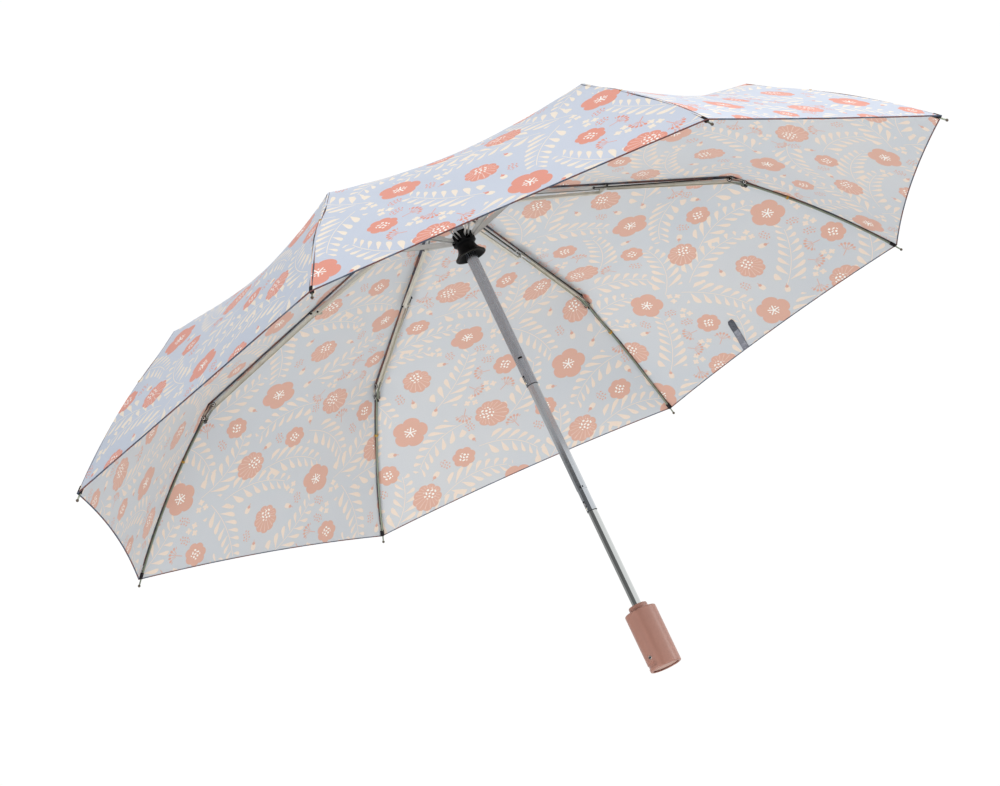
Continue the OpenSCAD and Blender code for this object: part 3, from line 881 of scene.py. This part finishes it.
TOP_RUN, MIDDLE_RUN, KNEE_RUN = ELBOW - CROWN, KNEE - ELBOW, KNEE - KNEE_TAIL
STRUT_TOP = off(CROWN, TOP_RUN, 75.4 * MM, -1.5 * MM)          # stretcher on the top rib
strut = STRUT_TOP - RUNNER
LINK_TOP = STRUT_TOP - strut / np.linalg.norm(strut) * 9 * MM   # link on the stretcher
LINK_FOOT = joint_place("link_1_fold")
FORK = 2.25 * MM            # outer face of the forks, from the rib's middle


def oblong(half_width, half_thick):
    """The outline of a flat strip, for sweep."""
    return [(half_width, -half_thick), (half_width, half_thick), (-half_width, half_thick),
            (-half_width, -half_thick)]


def tape(i, places, half_width=1.6 * MM, half_thick=0.35 * MM):
    return sweep([in_space(i, p) for p in places], oblong(half_width, half_thick))


def slack(t):
    """How far the seam hangs beside the outer rib between the places where it is tied on."""
    ties = (0.0, 0.27, 0.62, 1.0)
    for a, b, sway in zip(ties, ties[1:], (1.3, -1.1, 0.8)):
        if t <= b:
            return sway * MM * math.sin(math.pi * (t - a) / (b - a)) ** 2
    return 0.0


def between(a, b, steps, drop):
    return [a + (b - a) * t - np.array([0, drop]) for t in np.linspace(0, 1, steps)]


def plate(i, a, b, y, half_high, half_thick=0.15 * MM):
    """A thin plate beside a rib, from a to b."""
    outline = [(-half_thick, -half_high), (half_thick, -half_high), (half_thick, half_high),
               (-half_thick, half_high)]
    return sweep([in_space(i, a, y), in_space(i, b, y)], outline)


def wrap(i, t, half_len, radius, ridges, lift=0.6 * MM):
    """Thread wound round the outer rib."""
    ahead = in_space(i, outer_rib(t + 0.01)) - in_space(i, outer_rib(t))
    steps = 4 * ridges
    profile = [(-half_len, 0.4 * radius)]
    profile += [(half_len * (2 * k / steps - 1), radius * (0.94 + 0.06 * math.cos(2 * math.pi * k / 4)))
                for k in range(steps + 1)]
    return turned(in_space(i, outer_rib(t, lift)), ahead, profile + [(half_len, 0.4 * radius)], 14)


for i in range(1, RIBS + 1):
    side_way = sideways(i)

    kit = Kit()
    kit.add(tape(i, between(seam_line[1], seam_line[2], 4, 1.1 * MM)), SEAM_SHADED)
    for y in (-1, 1):
        kit.rivet(in_space(i, ELBOW, y * 2.6 * MM), side_way * y, 1.5 * MM)
    ring_at = off(ELBOW, TOP_RUN, -8 * MM, -2.8 * MM)
    kit.add(loop(in_space(i, ring_at), side_way, 1.1 * MM, 0.35 * MM), DARK_METAL_AND_SHADE)
    # painted shade: a black strip inside the top rib's channel, seen from below
    channel = [off(CROWN, TOP_RUN, d * MM, -0.75 * MM) for d in (14, 90, 166)]
    kit.add(tape(i, channel, 0.95 * MM, 0.2 * MM), HOLLOW_SHADE)
    kit.done(f"top_rib_fittings_{i}", f"top_rib_{i}")

    kit = Kit()
    for y in (-1, 1):
        kit.rivet(in_space(i, STRUT_TOP, y * FORK), side_way * y, 1.45 * MM)
    kit.done(f"stretcher_fittings_{i}", f"stretcher_{i}")

    kit = Kit()
    kit.rivet(in_space(i, LINK_TOP, 6.1 * MM), side_way, 1.4 * MM)
    kit.rivet(in_space(i, LINK_FOOT, 6.1 * MM), side_way, 1.4 * MM)
    kit.done(f"link_fittings_{i}", f"link_{i}")

    kit = Kit()
    kit.add(tape(i, between(seam_line[2], seam_line[3], 4, 1.1 * MM)), SEAM_SHADED)
    ring_at = off(KNEE, MIDDLE_RUN, 1.5 * MM, -3.4 * MM)
    kit.add(loop(in_space(i, ring_at), side_way, 1.3 * MM, 0.5 * MM), DARK_METAL_AND_SHADE)
    washer_at = off(KNEE_TAIL, KNEE_RUN, -1.0 * MM, -2.2 * MM)
    plate_ends = off(KNEE_TAIL, KNEE_RUN, 1 * MM, -1.6 * MM), off(KNEE, KNEE_RUN, 0, -0.4 * MM)
    for y in (-1, 1):
        kit.add(plate(i, *plate_ends, y * 2.42 * MM, 1.35 * MM), STEEL)
        kit.eyelet(in_space(i, washer_at, y * 2.5 * MM), side_way * y, 2.1 * MM)
    kit.done(f"middle_rib_fittings_{i}", f"middle_rib_{i}")

    kit = Kit()
    kit.add(sweep([in_space(i, p - np.array([0, 0.95 * MM]), slack(k / (len(seam_line) - 5)))
                   for k, p in enumerate(seam_line[3:-1])], oblong(1.7 * MM, 0.3 * MM)), SEAM_SHADED)
    for y in (-1, 1):
        kit.eyelet(in_space(i, KNEE, y * 2.6 * MM), side_way * y, 2.2 * MM)
    ring_at = off(KNEE, KNEE_RUN, 3.5 * MM, -2.0 * MM)
    kit.add(loop(in_space(i, ring_at), side_way, 1.2 * MM, 0.4 * MM), DARK_METAL_AND_SHADE)
    kit.add(wrap(i, 0.27, 1.1 * MM, 2.4 * MM, 3), THREAD)
    kit.add(wrap(i, 0.942, 3.4 * MM, 2.3 * MM, 9, 0.9 * MM), DARK_THREAD)
    for t in (0.885, 0.885 + 0.016, 0.885 + 0.032):
        stitch = [in_space(i, outer_rib(t + step, up * MM), out * MM)
                  for step, up, out in ((0, 1.3, 1.5), (0.006, 1.2, 1.8), (0.012, 1.3, 1.5))]
        kit.add(sweep(stitch, circle(0.4 * MM, 8)), WHITE_THREAD)
    tip = in_space(i, outer_rib(1))
    ball_steps = [(1.56 * MM * math.sin(math.radians(a)), 1.56 * MM * math.cos(math.radians(a)))
                  for a in (-80, -55, -30, 0, 30, 55, 80)]
    kit.add(turned(tip, tip - in_space(i, outer_rib(0.99)), ball_steps, 18), TIP_BROWN)
    kit.done(f"outer_rib_fittings_{i}", f"outer_rib_{i}")


def curved_plate(radius, facing, half_angle, z0, z1, thick, steps=8):
    """A plate that lies round the shaft's axis."""
    points, faces = [], []
    for r in (radius, radius + thick):
        for z in (z0, z1):
            for k in range(steps + 1):
                a = math.radians(facing + half_angle * (2 * k / steps - 1))
                points.append(Vector((r * math.cos(a), r * math.sin(a), z)))
    n = steps + 1
    for k in range(steps):
        faces += [(k, k + 1, n + k + 1, n + k), (2 * n + k, 3 * n + k, 3 * n + k + 1, 2 * n + k + 1),
                  (k, 2 * n + k, 2 * n + k + 1, k + 1), (n + k, n + k + 1, 3 * n + k + 1, 3 * n + k)]
    faces += [(0, n, 3 * n, 2 * n), (steps, 2 * n + steps, 3 * n + steps, n + steps)]
    return points, faces


def flat_plate(distance, facing, half_width, z0, z1, thick):
    """A plate on one flat of an eight-sided tube."""
    a = math.radians(facing)
    out, across = Vector((math.cos(a), math.sin(a), 0)), Vector((-math.sin(a), math.cos(a), 0))
    points = [out * d + across * w + UP * z for d in (distance, distance + thick)
              for w, z in ((-half_width, z0), (half_width, z0), (half_width, z1), (-half_width, z1))]
    return points, [(3, 2, 1, 0), (4, 5, 6, 7), (0, 1, 5, 4), (1, 2, 6, 5), (2, 3, 7, 6), (3, 0, 4, 7)]


UP = Vector((0, 0, 1))
LATCH_SIDE = 225            # the flat that carries the spring catches


def catches(name, body, foot, neck_len, flat, tube_r, finish):
    """The drawn-in end of a tube: a dark ring of painted shade in the gap at its lip, a black plate of
    painted shade in the slot of its spring catch with the latch in it, and a black plate of painted shade
    for a vent above. flat is the distance of the neck's flats from the axis."""
    kit = Kit()
    corner = flat / math.cos(HALF)
    # painted shade: a dark ring in the gap at the tube's lip
    kit.add(loop((0, 0, foot + 0.25 * MM), UP, corner, 0.32 * MM, 8, 6, HALF), DARK_METAL_AND_SHADE)
    slot_ends, latch_ends = (foot + 1.0 * MM, foot + 12 * MM), (foot + 1.4 * MM, foot + 10.6 * MM)
    # painted shade: a black plate in the catch's slot
    kit.add(flat_plate(flat - 0.02 * MM, LATCH_SIDE, 1.75 * MM, *slot_ends, 0.1 * MM), HOLLOW_SHADE)
    kit.add(flat_plate(flat, LATCH_SIDE + 3, 1.0 * MM, *latch_ends, 0.35 * MM), finish)
    out = Vector((math.cos(math.radians(LATCH_SIDE)), math.sin(math.radians(LATCH_SIDE)), 0))
    kit.add(dome(UP * (foot + 4 * MM) + out * (flat + 0.3 * MM), out, 0.95 * MM, 0.7 * MM), BRASS)
    vent = foot + neck_len + 1.4 * MM
    # painted shade: a black plate for the vent
    kit.add(curved_plate(tube_r - 0.1 * MM, 292, 21, vent, vent + 1.8 * MM, 0.14 * MM), HOLLOW_SHADE)
    kit.done(name, body)


catches("upper_tube_catch", "upper_tube",
        317.5 * MM, 28 * MM, 5.63 * MM, 6.05 * MM, GREY_TUBE)
catches("middle_tube_catch", "middle_tube",
        173 * MM, 24 * MM, 4.88 * MM, 5.3 * MM, BLUE_TUBE)


def coil(name, node, foot, ahead, radius, wire, length, turns, travel):
    """A spring of wire, drawn at its full length: it does not shorten as a joint moves."""
    across = ahead.orthogonal().normalized()
    side, steps = ahead.cross(across), turns * 14
    turn = math.pi / 7  # 14 steps to a turn
    line = [foot + ahead * (wire + (length - 2 * wire) * k / steps)
            + (across * math.cos(turn * k) + side * math.sin(turn * k)) * radius for k in range(steps + 1)]
    points, faces = sweep(line, circle(wire, 6), ahead)
    piece = make(name, points, faces, STEEL)
    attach(piece, "root")
    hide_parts(node)
    1 - travel / length
    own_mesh(piece)


spring_low, spring_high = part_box("drive_spring")
shortening = JOINTS["shaft_telescope"]["range_m"][1] + JOINTS["middle_tube_slide"]["range_m"][1]
coil("drive_coil", "drive_spring", UP * spring_low.z, UP, 3.1 * MM, 0.45 * MM,
     spring_high.z - spring_low.z, 32, shortening)
outwards = -Vector(JOINTS["button_press"]["axis"])
button_at = UP * (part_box("button_spring")[0].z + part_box("button_spring")[1].z) / 2
coil("button_coil", "button_spring", button_at + outwards * 4.75 * MM, outwards, 2.6 * MM, 0.35 * MM,
     5.7 * MM, 5, JOINTS["button_press"]["range_m"][1])

# the cord's hole in the handle, with a black disc of painted shade in it, and dark rings of painted shade in
# the gaps at the handle's two ends
kit = Kit()
eyelet = Vector((math.cos(math.radians(246)), math.sin(math.radians(246)), 0))
hole = [(0, 1.15 * MM), (0.35 * MM, 1.1 * MM)]
kit.add(loop(eyelet * 16.4 * MM + UP * 13 * MM, eyelet, 1.5 * MM, 0.5 * MM, 24, 8), STEEL)
kit.add(turned(eyelet * 15.6 * MM + UP * 13 * MM, eyelet, hole, 16), HOLLOW_SHADE)
kit.add(loop((0, 0, 1.2 * MM), UP, 13.9 * MM, 0.45 * MM, 64), HANDLE_GAP_SHADE)
kit.add(loop((0, 0, 67.3 * MM), UP, 5.1 * MM, 0.3 * MM, 40), HANDLE_GAP_SHADE)
kit.done("handle_fittings", "root")

# painted highlight: a lighter ring along the black runner's rim
kit = Kit()
kit.add(loop((0, 0, 470.2 * MM), UP, 16.35 * MM, 0.3 * MM, 64), RUNNER_LIP_HIGHLIGHT)
kit.done("runner_lip", "runner")

# --- the camera, the light and the floor ---

VIEW_AZIMUTH, VIEW_RISE, VIEW_ROLL = 106.92, 15.46, -25.26
VIEW_FROM = (0.7354, -2.5315, -0.4044)
BRIGHT_SIDE = math.radians(52)  # azimuth of the brightest part of the studio
camera_data = bpy.data.cameras.new("photo_camera")
camera_data.sensor_width = 36
camera_data.lens = 96.99
camera_data.clip_start, camera_data.clip_end = 0.05, 100
camera = bpy.data.objects.new("photo_camera", camera_data)
bpy.context.scene.collection.objects.link(camera)
az, rise, roll = (math.radians(a) for a in (VIEW_AZIMUTH, VIEW_RISE, VIEW_ROLL))
forward = Vector((math.cos(az) * math.cos(rise), math.sin(az) * math.cos(rise), math.sin(rise)))
right = forward.cross(Vector((0, 0, 1))).normalized()
up = right.cross(forward)
right, up = right * math.cos(roll) + up * math.sin(roll), up * math.cos(roll) - right * math.sin(roll)
camera.matrix_world = Matrix.Translation(VIEW_FROM) @ Matrix(
    (right, up, -forward)).transposed().to_4x4()
bpy.context.scene.camera = camera

world = bpy.data.worlds.new("studio")
world.use_nodes = True
bpy.context.scene.world = world
# white ahead of the camera and to its right, and greyer behind it, which the metal reflects
nodes, links = world.node_tree.nodes, world.node_tree.links
toward = nodes.new("ShaderNodeVectorMath")
toward.operation = "DOT_PRODUCT"
toward.inputs[1].default_value = (math.cos(BRIGHT_SIDE), math.sin(BRIGHT_SIDE), 0.06)
shade = nodes.new("ShaderNodeMapRange")
for slot, number in zip(list(shade.inputs)[1:5], (-0.6, 0.3, 0.17, 1.02)):
    slot.default_value = number
links.new(nodes.new("ShaderNodeTexCoord").outputs["Generated"], toward.inputs[0])
links.new(toward.outputs["Value"], shade.inputs[0])
background = nodes["Background"]
background.inputs["Color"].default_value = (1, 1, 1, 1)
links.new(shade.outputs[0], background.inputs["Strength"])
bpy.context.scene.view_settings.view_transform = "Standard"


def lamp(name, place, target, size, power, colour=(1, 1, 1)):
    data = bpy.data.lights.new(name, "AREA")
    data.shape, data.size, data.energy, data.color = "DISK", size, power, colour
    obj = bpy.data.objects.new(name, data)
    obj.location = place
    obj.rotation_euler = (Vector(target) - Vector(place)).to_track_quat("-Z", "Y").to_euler()
    bpy.context.scene.collection.objects.link(obj)


lamp("key", (1.5, -2.2, 2.5), (0, 0, 0.4), 1.8, 53, (1.0, 0.99, 0.98))
lamp("fill", (-1.4, -1.5, -0.6), (0.3, 0.25, 0.45), 1.2, 21.5, (0.97, 0.99, 1.0))
lamp("strip", (2.1, 0.45, 0.1), (0, 0, 0.03), 0.5, 9, (1.0, 1.0, 1.0))

FLOOR_Z = -1.35
FLOOR_HALF = 9
floor_mat = plastic("floor_white", (0.86, 0.86, 0.86, 1), 0.8, 0.0, 0.02, 30.0)
corners = [(x * FLOOR_HALF, y * FLOOR_HALF, FLOOR_Z) for x, y in ((-1, -1), (1, -1), (1, 1), (-1, 1))]
floor = make("floor", corners, [(0, 1, 2, 3)], floor_mat)
